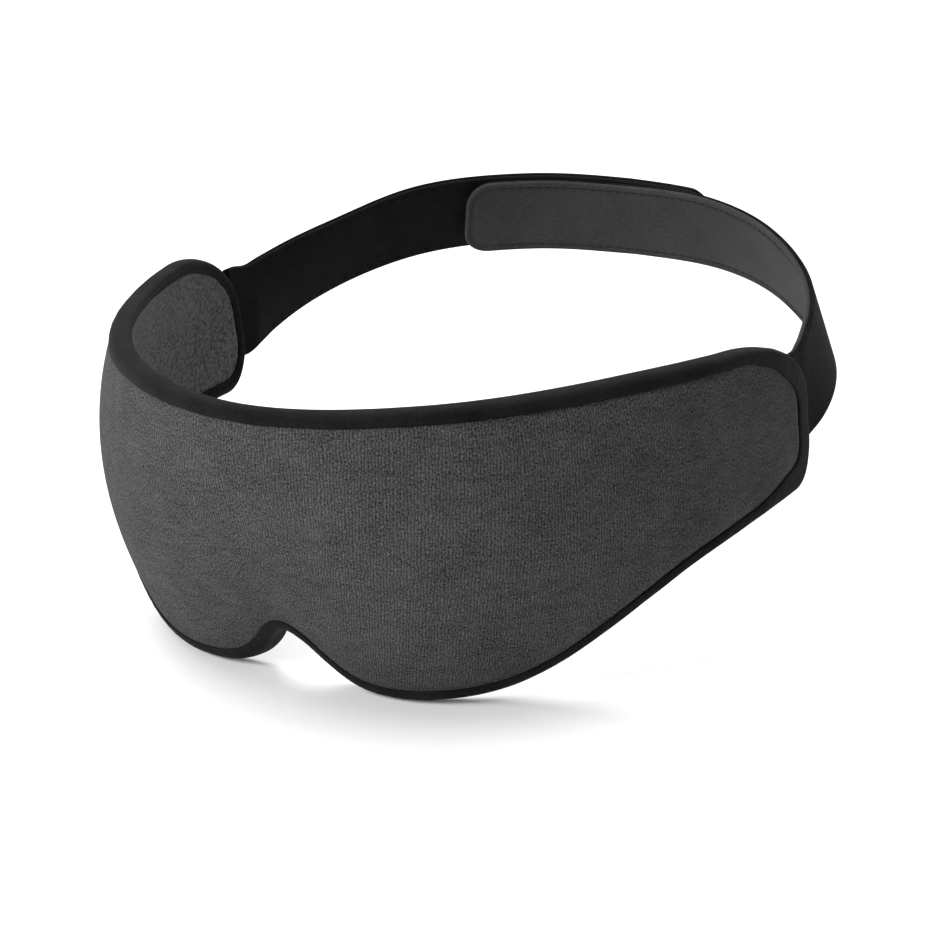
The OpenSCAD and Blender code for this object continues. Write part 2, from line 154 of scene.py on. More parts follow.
def top_z(a, i):
    a = np.abs(a)
    x = (a - UPPER_ANGLE) * END_MM / (UPPER_REACH - i)
    round_z = UPPER_CENTRE + (UPPER_DROP - i) * np.sqrt(np.maximum(0, 1 - x * x))
    return np.where(a < UPPER_ANGLE, curve(TOP_EDGE, a) - i * lean_factor(TOP_EDGE, a), round_z)


def bottom_z(a, i):
    a = np.abs(a)
    round_z = LOWER_CENTRE - np.sqrt(
        np.maximum(0, (LOWER_CORNER - i) ** 2 - ((a - LOWER_ANGLE) * END_MM) ** 2))
    return np.where(a < LOWER_ANGLE, curve(BOTTOM_EDGE, a) + i * lean_factor(BOTTOM_EDGE, a), round_z)


def lip(a):
    return FRONT_LIP + LIP_GROWTH * ease((np.abs(a) - LIP_FROM) / LIP_SPAN)


def nose(a, z):
    return (NOSE_EXTRA * np.maximum(0, 1 - (a / NOSE_ANGLE) ** 2) ** 2
            * ease(((DATUM_Z - z) / DATUM_H - NOSE_LOW) / NOSE_SPAN))


def rim(a, z):
    r = np.hypot((np.abs(a) - EYE_ANGLE) * EYE_MM / EYE_A, (z - EYE_Z) / EYE_B)
    return RIM_H * np.maximum(0, 1 - ((r - 1) / RIM_SPREAD) ** 2) ** 2


def full_t(a, z):
    return EDGE_T + nose(a, z) + rim(a, z)


def fold(q):
    return np.where(q > 90, 180 - q, q)


def track(q, right):
    if right:
        return (ROOT_R + (RIGHT_TRACK - ROOT_R) * ease(q / RIGHT_RAMP)
                + STRAP_BULGE * ease(q / BULGE_AT) * (1 - ease((q - BULGE_AT) / BULGE_FALL)))
    return LEFT_ROOT_R + (LEFT_TRACK - LEFT_ROOT_R) * ease(q / LEFT_RAMP)


def band(q, w, d, right):
    """A point of a strap: angle q from its temple, w up from its middle, d out from its webbing."""
    q, w, d = np.broadcast_arrays(np.asarray(q, float), w, d)
    t = np.radians(curve(STRAP_LEAN, fold(q)) - (0 if right else LEFT_LEAN * (1 - ease(q / LEAN_SPAN))))
    reach = track(q, right) + d * np.cos(t) - w * np.sin(t)
    drop = TAB_DROP * ease((q - DROP_FROM) / DROP_SPAN) if right else 0
    back = 0 if right else LEFT_REACH * (1 - ease(q / LEFT_RAMP))
    angle = np.radians(q)
    side = 1 if right else -1
    return np.stack([side * reach * np.cos(angle), LOOP_Y + back + reach * np.sin(angle),
                     curve(STRAP_RISE, fold(q)) - drop + w * np.cos(t) + d * np.sin(t)], -1)


def tail(q, w, d, right):
    """A point of a strap's sewn end: pressed flat in the mask's seam, then on the strap's own line."""
    q, w, d = np.broadcast_arrays(np.asarray(q, float), w, d)
    side, seam_q = (1, 2.2) if right else (-1, 3.2)
    a = END_ANGLE + (q + seam_q) * STRAP_MM / END_MM
    share = ease((q + 4) / (ROOT_MIDDLE + 4))[..., None]
    return (1 - share) * wall(side * a, w, SEAM_DEPTH - 0.6 * d) + share * band(q, w, d, right)


# ---------------------------------------------------------------- meshes
UV = "cloth"
UV_MM = 100.0


def add_object(name, data):
    obj = bpy.data.objects.new(name, data)
    bpy.context.scene.collection.objects.link(obj)
    return obj


def make_mesh(name, points, faces, uv, material, smooth=True):
    """An object from points in millimetres. uv holds millimetres of cloth for each face corner."""
    mesh = bpy.data.meshes.new(name)
    mesh.from_pydata((np.asarray(points) * MM).tolist(), [], np.asarray(faces).tolist())
    layer = mesh.uv_layers.new(name=UV)
    layer.data.foreach_set("uv", (np.asarray(uv, np.float32) / UV_MM).ravel())
    mesh.polygons.foreach_set("use_smooth", [smooth] * len(mesh.polygons))
    obj = add_object(name, mesh)
    mesh.materials.append(material)
    return obj


def grid(name, points, cloth, material, wrap=False, flip=False):
    """A mesh through a grid of points. With wrap, the last column joins the first; cloth then has one
    more column than points."""
    n, m = points.shape[:2]
    i, j = np.meshgrid(np.arange(n if wrap else n - 1), np.arange(m - 1), indexing="ij")
    i2 = (i + 1) % n
    faces = np.stack([i * m + j, i2 * m + j, i2 * m + j + 1, i * m + j + 1], -1).reshape(-1, 4)
    corners = np.stack([cloth[i, j], cloth[i + 1, j], cloth[i + 1, j + 1], cloth[i, j + 1]], 2)
    corners = corners.reshape(-1, 4, 2)
    if flip:
        faces, corners = faces[:, ::-1], corners[:, ::-1]
    return make_mesh(name, points.reshape(-1, 3), faces, corners.reshape(-1, 2), material)


def weld(obj, distance=0.02):
    """Joins points that lie together, closes open ends and makes the faces look outwards."""
    work = bmesh.new()
    work.from_mesh(obj.data)
    bmesh.ops.remove_doubles(work, verts=work.verts, dist=distance * MM)
    ends = bmesh.ops.holes_fill(work, edges=[e for e in work.edges if e.is_boundary], sides=0)
    for face in ends["faces"]:
        face.smooth = False
        for edge in face.edges:
            edge.smooth = False
    bmesh.ops.recalc_face_normals(work, faces=work.faces)
    work.to_mesh(obj.data)
    work.free()
    return obj


def sandwich(name, face, back, cloth, material):
    """A closed solid between two grids of points, open nowhere. Their borders are joined."""
    n, m = face.shape[:2]
    ring = np.concatenate([face, back[:, ::-1]], 1)
    cloth_ring = np.concatenate([cloth, cloth[:, ::-1]], 1)
    ring = np.concatenate([ring, ring[:, :1]], 1)
    cloth_ring = np.concatenate([cloth_ring, cloth_ring[:, :1]], 1)
    obj = grid(name, ring, cloth_ring, material)
    work = bmesh.new()
    work.from_mesh(obj.data)
    work.verts.ensure_lookup_table()
    width = 2 * m + 1
    uv = work.loops.layers.uv[0]
    for column in (0, n - 1):
        base = column * width
        for k in range(m - 1):
            ids = [base + k, base + k + 1, base + 2 * m - 2 - k, base + 2 * m - 1 - k]
            made = work.faces.new([work.verts[v] for v in ids])
            made.smooth = True
            for loop, v in zip(made.loops, ids):
                loop[uv].uv = cloth_ring[column, v - base] / UV_MM
    work.to_mesh(obj.data)
    work.free()
    return weld(obj)


def smooth_rows(n_from, n_to):
    """Weights that carry n_from samples to n_to along a smooth curve."""
    weights = np.zeros((n_to, n_from))
    for row, x in enumerate(np.linspace(0, n_from - 1, n_to)):
        i = min(int(x), n_from - 2)
        t = x - i
        cubic = [(-t**3 + 2 * t**2 - t) / 2, (3 * t**3 - 5 * t**2 + 2) / 2,
                 (-3 * t**3 + 4 * t**2 + t) / 2, (t**3 - t**2) / 2]
        for k, c in enumerate(cubic):
            weights[row, min(max(i - 1 + k, 0), n_from - 1)] += c
    return weights


def ripple(a, z, rng, count, shortest, longest):
    """Soft unevenness of hand: a sum of waves over the wall, about -1 to 1."""
    total = np.zeros(np.broadcast(a, z).shape)
    for _ in range(count):
        length = rng.uniform(shortest, longest)
        angle, phase = rng.uniform(0, math.pi), rng.uniform(0, 2 * math.pi)
        along = a * EYE_MM * math.cos(angle) + z * math.sin(angle)
        total = total + np.sin(along * 2 * math.pi / length + phase)
    return total / math.sqrt(count)


# ---------------------------------------------------------------- material nodes
class Nodes:
    """A material's node tree, with short calls for what the cloths share."""

    def __init__(self, name):
        self.material = bpy.data.materials.new(name)
        self.material.use_nodes = True
        self.tree = self.material.node_tree
        self.tree.nodes.clear()
        self.shader = self.node("BsdfPrincipled")
        output = self.node("OutputMaterial")
        self.tree.links.new(self.shader.outputs[0], output.inputs[0])

    def put(self, socket, value):
        if isinstance(value, bpy.types.NodeSocket):
            self.tree.links.new(value, socket)
        elif value is not None:
            socket.default_value = value

    def node(self, kind, **values):
        """A new node, with the inputs of these names set or linked."""
        node = self.tree.nodes.new("ShaderNode" + kind)
        for name, value in values.items():
            self.put(node.inputs[name], value)
        return node

    def math(self, operation, a, b=None, c=None, clamp=False):
        node = self.node("Math")
        node.operation = operation
        node.use_clamp = clamp
        for socket, value in zip(node.inputs, (a, b, c)):
            self.put(socket, value)
        return node.outputs[0]

    def times(self, a, b):
        return self.math("MULTIPLY", a, b)

    def share(self, a, part, b):
        """The given part of a, and the rest from b."""
        return self.math("ADD", self.times(a, part), self.times(b, 1 - part))

    def wave(self, value, length):
        """A sine wave of this length in millimetres, -1 to 1."""
        return self.math("SINE", self.times(value, 2 * math.pi / length))

    def cloth(self):
        """Millimetres along and across the cloth."""
        node = self.node("UVMap")
        node.uv_map = UV
        split = self.node("SeparateXYZ")
        self.put(split.inputs[0], node.outputs[0])
        return tuple(self.times(split.outputs[k], UV_MM) for k in range(2))

    def space(self):
        """Millimetres in the object's own space."""
        scale = self.node("VectorMath")
        scale.operation = "SCALE"
        self.put(scale.inputs[0], self.node("TexCoord").outputs["Object"])
        scale.inputs["Scale"].default_value = 1 / MM
        return scale.outputs[0]

    def vector(self, x, y, z=0.0):
        return self.node("CombineXYZ", X=x, Y=y, Z=z).outputs[0]

    def noise(self, vector, size, detail=2.0, roughness=0.5):
        """Noise with features about size millimetres wide, 0 to 1."""
        return self.node("TexNoise", Vector=vector, Scale=1 / size, Detail=detail,
                         Roughness=roughness).outputs[0]

    def cells(self, x, y):
        """A random value for each whole step of x and y."""
        node = self.node("TexWhiteNoise")
        node.noise_dimensions = "2D"
        self.put(node.inputs["Vector"], self.vector(self.math("FLOOR", x), self.math("FLOOR", y)))
        return node.outputs[0]

    def spread(self, value, low, high, to_low=0.0, to_high=1.0):
        node = self.node("MapRange")
        node.clamp = True
        for socket, v in zip(node.inputs, (value, low, high, to_low, to_high)):
            self.put(socket, v)
        return node.outputs[0]

    def mix(self, factor, a, b):
        node = self.node("Mix")
        node.data_type = "RGBA"
        self.put(node.inputs[0], factor)
        for socket, value in zip((node.inputs[6], node.inputs[7]), (a, b)):
            self.put(socket, (*value, 1) if isinstance(value, tuple) else value)
        return node.outputs[2]

    def bump(self, height, depth_mm, strength=1.0, under=None):
        return self.node("Bump", Strength=strength, Distance=depth_mm * MM, Height=height,
                         Normal=under).outputs[0]

    def finish(self, color, roughness, normal=None, sheen=0.0, sheen_roughness=0.5, specular=0.3):
        for name, value in (("Base Color", color), ("Roughness", roughness), ("Normal", normal),
                            ("Sheen Weight", sheen), ("Sheen Roughness", sheen_roughness),
                            ("Specular IOR Level", specular)):
            self.put(self.shader.inputs[name], value)
        return self.material


def grey(value, warmth=0.0):
    return (value * (1 + warmth), value, value * (1 - warmth))


def heather_jersey():
    """Fine ribbed jersey: broken upright wales, heather flecks and soft clouds across them, and painted
    shade in the grooves between the wales.
    """
    n = Nodes("heather_jersey")
    u, v = n.cloth()
    wander = n.noise(n.vector(n.times(u, 0.8), n.times(v, 0.45)), 2.0, 2, 0.6)
    u = n.math("ADD", u, n.times(n.math("SUBTRACT", wander, 0.5), 1.5))
    across = n.math("FRACT", n.times(u, 1 / 0.78))
    rib = n.math("POWER", n.math("SINE", n.times(across, math.pi)), 0.8)
    loops = n.noise(n.vector(n.times(u, 1.5), v), 0.55, 3, 0.75)
    height = n.times(rib, n.math("MULTIPLY_ADD", loops, 1.1, 0.25))
    fleck = n.noise(n.vector(n.times(u, 1.4), v), 0.56, 2, 0.8)
    cloud = n.noise(n.vector(n.times(u, 0.45), v), 2.4, 3, 0.6)
    patch = n.noise(n.vector(u, v), 15, 2)
    tone = n.times(fleck, 0.95)
    for part, share in ((loops, 0.20), (cloud, 0.15), (patch, 0.10)):
        tone = n.math("MULTIPLY_ADD", part, share, tone)
    light = n.spread(tone, 0.54, 0.88)
    body = n.mix(light, grey(0.006), grey(0.112))
    # painted shade: the colour goes darker in the low grooves between the wales
    groove = n.spread(height, 0.05, 0.6, 0.35, 1.0)
    color = n.mix(groove, grey(0.010), body)
    bump = n.bump(height, 0.15, 0.7, n.bump(fleck, 0.10, 0.4))
    return n.finish(color, n.spread(fleck, 0.3, 0.7, 0.85, 0.97), bump, 0.015, 0.45, 0.03)


def brushed_lining():
    """Grey lining with a short brushed nap."""
    n = Nodes("brushed_lining")
    place = n.space()
    nap = n.noise(place, 0.55, 2, 0.7)
    tuft = n.noise(place, 1.05, 3, 0.65)
    cloud = n.noise(place, 22, 2)
    tone = n.share(nap, 0.4, tuft)
    tone = n.math("ADD", tone, n.times(n.math("SUBTRACT", cloud, 0.5), 0.10))
    color = n.mix(n.spread(tone, 0.40, 0.60), grey(0.018, 0.01), grey(0.100, 0.01))
    return n.finish(color, 0.95, n.bump(tone, 0.35, 0.55), 0.10, 0.55, 0.08)


def black_binding():
    """Matt black stretch tape: a fine knit that runs along the tape."""
    n = Nodes("black_binding")
    u, v = n.cloth()
    knit = n.times(n.wave(u, 0.55), n.wave(v, 0.5))
    fuzz = n.noise(n.vector(u, v), 0.8, 3, 0.65)
    pucker = n.noise(n.vector(u, n.times(v, 0.4)), 5.5, 2)
    cloud = n.noise(n.space(), 12, 2)
    tone = n.share(fuzz, 0.6, cloud)
    color = n.mix(n.spread(tone, 0.38, 0.66), grey(0.0022), grey(0.0120))
    bump = n.bump(knit, 0.06, 0.4, n.bump(pucker, 0.30, 0.30, n.bump(fuzz, 0.12, 0.3)))
    return n.finish(color, n.spread(fuzz, 0.3, 0.7, 0.78, 0.93), bump, 0.018, 0.4, 0.10)


def elastic_webbing():
    """Black elastic with fine ribs along its length and a tight weft across; painted shade darkens the
    grooves between the ribs.
    """
    n = Nodes("elastic_webbing")
    u, v = n.cloth()
    rib = n.math("ABSOLUTE", n.wave(v, 2 * 1.05))
    weft = n.wave(u, 0.62)
    pick = n.cells(n.times(u, 1 / 0.62), n.times(v, 1 / 1.05))
    height = n.math("ADD", rib, n.times(weft, 0.18))
    fuzz = n.noise(n.space(), 0.7, 3, 0.6)
    tone = n.share(pick, 0.4, fuzz)
    color = n.mix(n.spread(tone, 0.3, 0.75), grey(0.0020), grey(0.0065))
    # painted shade: darker where the rib wave is low, in the grooves between the ribs
    color = n.mix(n.spread(rib, 0.0, 0.35), grey(0.0015), color)
    bump = n.bump(height, 0.14, 0.6, n.bump(fuzz, 0.08, 0.3))
    return n.finish(color, n.spread(fuzz, 0.3, 0.7, 0.7, 0.85), bump, 0.0, 0.35, 0.05)


def strap_lining():
    """Smooth grey fine-gauge knit on the inside of the right strap."""
    n = Nodes("grey_strap_lining")
    u, v = n.cloth()
    knit = n.times(n.wave(u, 0.48), n.wave(v, 0.42))
    heather = n.noise(n.vector(n.times(u, 0.5), n.times(v, 1.4)), 0.9, 3, 0.65)
    cloud = n.noise(n.space(), 16, 2)
    tone = n.share(heather, 0.7, cloud)
    color = n.mix(n.spread(tone, 0.35, 0.66), grey(0.021), grey(0.039))
    bump = n.bump(knit, 0.05, 0.4, n.bump(heather, 0.08, 0.3))
    return n.finish(color, n.spread(heather, 0.3, 0.7, 0.82, 0.93), bump, 0.05, 0.4, 0.10)


def loop_pile():
    """Black brushed loop pile."""
    n = Nodes("loop_pile")
    place = n.space()
    loops = n.noise(place, 0.55, 3, 0.7)
    patch = n.noise(place, 7, 2)
    tone = n.share(loops, 0.7, patch)
    color = n.mix(n.spread(tone, 0.35, 0.68), grey(0.0025), grey(0.0085))
    return n.finish(color, 0.9, n.bump(loops, 0.3, 0.6), 0.02, 0.4, 0.08)


def hook_tape():
    """Moulded black hook tape, slightly glossy."""
    n = Nodes("hook_tape")
    speck = n.noise(n.space(), 0.5, 2)
    color = n.mix(speck, grey(0.004), grey(0.014))
    return n.finish(color, n.spread(speck, 0.3, 0.7, 0.35, 0.55), n.bump(speck, 0.05, 0.4), 0, 0.5, 0.5)


def thread(name, low, high):
    """Twisted sewing thread, with painted shade in the troughs of its twist."""
    n = Nodes(name)
    u, v = n.cloth()
    twist = n.wave(n.math("ADD", u, v), 0.35)
    # painted shade and light: darker in the troughs of the twist, lighter on its crests
    color = n.mix(n.math("MULTIPLY_ADD", twist, 0.5, 0.5), grey(low), grey(high))
    return n.finish(color, n.spread(twist, -1, 1, 0.5, 0.7), n.bump(twist, 0.05, 0.5), 0.0, 0.4, 0.04)


def foam():
    """Open-cell foam, with painted shade in its pores."""
    n = Nodes("foam")
    cell = n.node("TexVoronoi", Vector=n.space(), Scale=1 / 0.8).outputs["Distance"]
    # painted shade: darker in the middle of each cell, the hollow of a pore
    color = n.mix(n.spread(cell, 0.1, 0.6), (0.16, 0.155, 0.135), (0.34, 0.33, 0.295))
    return n.finish(color, n.spread(cell, 0.1, 0.6, 0.8, 0.98), n.bump(cell, 0.3, 0.6), 0.1, 0.5, 0.15)


def film():
    """Dull coated blackout cloth."""
    n = Nodes("blackout_film")
    place = n.space()
    grain = n.noise(place, 0.6, 2)
    crease = n.noise(place, 9, 2)
    color = n.mix(grain, grey(0.005), grey(0.012))
    return n.finish(color, n.spread(crease, 0.3, 0.7, 0.45, 0.65), n.bump(grain, 0.05, 0.4), 0, 0.5, 0.4)


MATERIAL = {
    "heather_jersey": heather_jersey(), "brushed_lining": brushed_lining(),
    "black_binding": black_binding(), "elastic_webbing": elastic_webbing(),
    "grey_strap_lining": strap_lining(), "loop_pile": loop_pile(), "hook_tape": hook_tape(),
    "black_thread": thread("black_thread", 0.0025, 0.006),
    "grey_thread": thread("grey_thread", 0.018, 0.034), "foam": foam(), "blackout_film": film(),
}


def place_piece(obj, body, replaced):
    """A piece of the object: the body it rides on and the CAD nodes it stands for."""
    if body:
        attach(obj, body)
    if replaced:
        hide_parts(*replaced)
    return obj


# ---------------------------------------------------------------- the mask's layers
def columns(n, last, pull):
    t = np.linspace(-1, 1, n)
    return last * (t - pull / (2 * math.pi) * np.sin(2 * math.pi * t))


def layer_grid(cols, rows, inset, pull=0.3):
    """Angles and heights over a layer whose edge lies inset from the mask's edge, and for each point
    its distance from that edge, in millimetres."""
    end_inset = float(inset(np.array(90.0)))
    last = END_ANGLE - end_inset / END_MM
    a = columns(cols, last, pull)[:, None]
    i = inset(a)
    top, bottom = top_z(a, i), bottom_z(a, i)
    v = np.linspace(0, 1, rows)[None, :]
    v = v - 0.55 / (2 * math.pi) * np.sin(2 * math.pi * v)
    z = top + (bottom - top) * v
    a = np.broadcast_to(a, z.shape)
    edge = np.minimum((top - z) / lean_factor(TOP_EDGE, a), (z - bottom) / lean_factor(BOTTOM_EDGE, a))
    for angle, centre, reach, height, sign in (
            (UPPER_ANGLE, UPPER_CENTRE, UPPER_REACH, UPPER_DROP, 1),
            (LOWER_ANGLE, LOWER_CENTRE, LOWER_CORNER, LOWER_CORNER, -1)):
        x, y = (np.abs(a) - angle) * END_MM, (z - centre) * sign
        reach, height = reach - end_inset, height - end_inset
        share = np.hypot(x / reach, y / height)
        slope = np.hypot(x / reach**2, y / height**2)
        corner = (1 - share) * share / np.maximum(slope, 1e-6)
        edge = np.where((x > 0) & (y > 0), np.minimum(edge, corner), edge)
    edge = np.minimum(edge, (last - np.abs(a)) * END_MM)
    return a, z, np.maximum(edge, 0)


def cloth_coords(a, z):
    """Millimetres of cloth along the wall and down it."""
    table = np.linspace(-92, 92, 737)
    length = np.concatenate([[0], np.cumsum(mm_per_deg((table[1:] + table[:-1]) / 2) * np.diff(table))])
    length -= np.interp(0, table, length)
    return np.stack([np.interp(a, table, length), z * 1.04], -1)


SIM_SIZE, SIM_FRAMES = (121, 37), 20


def puff(name, place, fine, coarse, pressure, cap, outward):
    """How far a stretched cloth swells between its sewn edges, from a cloth simulation on a coarse grid.
    place(a, z, edge) gives the cloth's shape at rest. Returns depths for the fine grid."""
    a, z, _ = coarse
    rest = place(*coarse)
    obj = grid(name, rest, cloth_coords(a, z), MATERIAL["foam"], flip=not outward)
    n, m = rest.shape[:2]
    pins = obj.vertex_groups.new(name="pins")
    index = np.arange(n * m).reshape(n, m)
    border = np.concatenate([index[0], index[-1], index[:, 0], index[:, -1]])
    pins.add([int(k) for k in np.unique(border)], 1.0, "REPLACE")
    sim = obj.modifiers.new("cloth", "CLOTH")
    settings = sim.settings
    settings.quality = 6
    settings.mass = 0.2
    settings.tension_stiffness = settings.compression_stiffness = 12
    settings.shear_stiffness = 6
    settings.bending_stiffness = 0.6
    settings.vertex_group_mass = "pins"
    settings.use_pressure = True
    settings.uniform_pressure_force = pressure
    settings.effector_weights.gravity = 0
    scene = bpy.context.scene
    for f in range(1, SIM_FRAMES + 1):
        scene.frame_set(f)
    evaluated = obj.evaluated_get(bpy.context.evaluated_depsgraph_get())
    moved = np.array([v.co for v in evaluated.data.vertices]).reshape(n, m, 3) / MM
    scene.frame_set(1)
    bpy.data.objects.remove(obj)
    inward = wall(a, z, 1.0) - wall(a, z, 0.0)
    shift = ((moved - rest) * inward).sum(-1) * (-1 if outward else 1)
    shift = cap * np.tanh(np.maximum(shift, 0) / cap)
    cols, rows = fine[0].shape
    return smooth_rows(n, cols) @ shift @ smooth_rows(m, rows).T


def swollen(name, place, inset, size, pressure, cap, sign, seed, wave):
    """A stretched cloth's grid of this size: angles, heights, distances from its edge, and the points
    of its visible face, swollen outwards where sign is -1 and inwards where it is 1. wave holds the
    height of its unevenness and the shortest and longest waves in it."""
    fine, coarse = layer_grid(*size, inset), layer_grid(*SIM_SIZE, inset)
    swell = puff(name, place, fine, coarse, pressure, cap, sign < 0)
    a, z, edge = fine
    height, shortest, longest = wave
    uneven = height * ripple(a, z, np.random.default_rng(seed), 9, shortest, longest) * ease(edge / 6)
    step = sign * (wall(a, z, 1.0) - wall(a, z, 0.0))
    return a, z, edge, place(a, z, edge) + step * (swell + uneven)[..., None]


def cover_rest(a, z, edge):
    """Depth of the jersey: tucked under the binding at its edge, rounding up over the foam."""
    roll = 1 - np.exp(-((edge / 1.5) ** 1.5))
    return wall(a, z, 0.42 - 0.62 * roll)


def jersey_cover():
    """The jersey panel, stretched over the foam and swollen between its sewn edges."""
    a, z, edge, face = swollen("cover_sim", cover_rest, lambda a: lip(a) + 0.05, (321, 97),
                               5.0, 1.1, -1, SEED, (0.16, 16, 60))
    back = wall(a, z, 0.88 - 0.4 * ease((1.2 - edge) / 1.2))
    obj = sandwich("jersey_cover", face, back, cloth_coords(a, z), MATERIAL["heather_jersey"])
    place_piece(obj, "mask", ["front_cover"])


def lining_rest(a, z, edge):
    roll = 1 - np.exp(-((edge / 1.4) ** 1.5))
    return wall(a, z, full_t(a, z) - 0.4 + 0.42 * roll)


def soft_lining():
    """The brushed lining, lying over the eye rims and the nose pad."""
    a, z, edge, face = swollen("lining_sim", lining_rest, lambda a: BACK_LIP + 0.1 + 0 * a, (281, 91),
                               3.0, 0.7, 1, SEED + 1, (0.22, 14, 50))
    back = wall(a, z, full_t(a, z) - 0.8 + 0.3 * ease((1.2 - edge) / 1.2))
    obj = sandwich("soft_lining", face, back, cloth_coords(a, z), MATERIAL["brushed_lining"])
    place_piece(obj, "mask", ["inner_lining"])


def hidden_layer(name, node, slot, inset, outer, inner, cols=97, rows=31):
    """A layer inside the mask, between two depths."""
    a, z, _ = layer_grid(cols, rows, lambda a: inset + 0 * a)
    face, back = wall(a, z, outer(a, z)), wall(a, z, inner(a, z))
    obj = sandwich(name, face, back, cloth_coords(a, z), MATERIAL[slot])
    return place_piece(obj, "mask", [node])


def eye_pad(name, side, node):
    """The soft rim round one eye hollow."""
    around = np.radians(np.linspace(0, 360, 97))[:-1, None]
    reach = RIM_SPREAD * 0.8
    radius = np.linspace(1 - reach, 1 + reach, 15)[None, :]
    a = side * (EYE_ANGLE + radius * EYE_A * np.cos(around) / EYE_MM)
    z = EYE_Z + radius * EYE_B * np.sin(around)
    floor = PAD_OUT + nose(a, z)
    low = wall(a, z, floor)
    high = wall(a, z, floor + np.maximum(0.1, rim(a, z) - 0.5))
    ring = np.concatenate([low, high[:, ::-1], low[:, :1]], 1)
    steps = np.linspace(0, 140, 97)[:, None] + 0 * ring[:1, :, 0]
    rows = np.linspace(0, 50, ring.shape[1])[None, :] + 0 * steps
    obj = weld(grid(name, ring, np.stack([steps, rows], -1), MATERIAL["foam"], wrap=True))
    place_piece(obj, "mask", [node])


def nose_wedge():
    """The wedge of padding over the nose."""
    a = np.linspace(-20, 20, 49)[:, None]
    low = bottom_z(a, 1.8)
    z = -24 + (low + 24) * np.linspace(0, 1, 15)[None, :]
    a = np.broadcast_to(a, z.shape)
    top = wall(a, z, PAD_OUT)
    back = wall(a, z, PAD_OUT + np.maximum(0.12, nose(a, z) - 0.1))
    obj = sandwich("nose_wedge", top, back, cloth_coords(a, z), MATERIAL["foam"])
    place_piece(obj, "mask", ["nose_pad"])


def inner_layers():
    core = hidden_layer(
        "foam_pad", "foam_core", "foam", 1.7, lambda a, z: CORE_OUT + 0 * z,
        lambda a, z: CORE_IN - (CORE_IN - SLOT_OUT) * ease((np.abs(a) - 79) / 2))
    dark = hidden_layer("blackout_sheet", "blackout_layer", "blackout_film", 1.7,
                        lambda a, z: FILM_OUT + 0 * z, lambda a, z: FILM_IN + 0 * z)
    eye_pad("eye_pad_left", -1, "left_eye_cushion")
    eye_pad("eye_pad_right", 1, "right_eye_cushion")
    nose_wedge()


# ---------------------------------------------------------------- the binding
def outline(step=0.9):
    """The mask's edge as one loop: angle, height, outward direction along and up, and length so far."""
    runs = []

    def spline_run(knots, angles, up):
        g = (curve(knots, np.abs(angles) + 0.5) - curve(knots, np.abs(angles) - 0.5)) / mm_per_deg(angles)
        g = g * np.sign(angles)
        size = np.hypot(1, g)
        runs.append(np.stack([angles, curve(knots, np.abs(angles)), -up * g / size, up / size], -1))

    def corner_run(side, angle, centre, reach, height, turn):
        x, y = reach * np.cos(turn), height * np.sin(turn)
        nx, ny = np.cos(turn) / reach, np.sin(turn) / height
        size = np.hypot(nx, ny)
        runs.append(np.stack([side * (angle + x / END_MM), centre + y, side * nx / size, ny / size], -1))

    upper, lower = np.radians(np.linspace(90, 0, 40)[1:-1]), np.radians(np.linspace(0, -90, 30)[1:-1])
    spline_run(TOP_EDGE, np.linspace(0, UPPER_ANGLE, 160), 1)
    upper_corner = (UPPER_ANGLE, UPPER_CENTRE, UPPER_REACH, UPPER_DROP)
    lower_corner = (LOWER_ANGLE, LOWER_CENTRE, LOWER_CORNER, LOWER_CORNER)
    corner_run(1, *upper_corner, upper)
    corner_run(1, *lower_corner, lower)
    spline_run(BOTTOM_EDGE, np.linspace(LOWER_ANGLE, -LOWER_ANGLE, 400), -1)
    corner_run(-1, *lower_corner, lower[::-1])
    corner_run(-1, *upper_corner, upper[::-1])
    spline_run(TOP_EDGE, np.linspace(-UPPER_ANGLE, 0, 160)[:-1], 1)
    path = np.concatenate(runs)
    closed = np.concatenate([path, path[:1]])
    gap = np.linalg.norm(np.diff(wall(closed[:, 0], closed[:, 1], 0), axis=0), axis=1)
    length = np.concatenate([[0], np.cumsum(gap)])
    count = int(length[-1] / step)
    at = np.linspace(0, length[-1], count + 1)
    even = np.stack([np.interp(at, length, closed[:, k]) for k in range(4)], -1)
    size = np.hypot(even[:, 2], even[:, 3])
    even[:, 2] /= size
    even[:, 3] /= size
    return even, at


def soft_line(points, count):
    """A smooth line of count points through points, with the last axis as x, y."""
    return np.einsum("ck,...kd->...cd", smooth_rows(points.shape[-2], count), points)


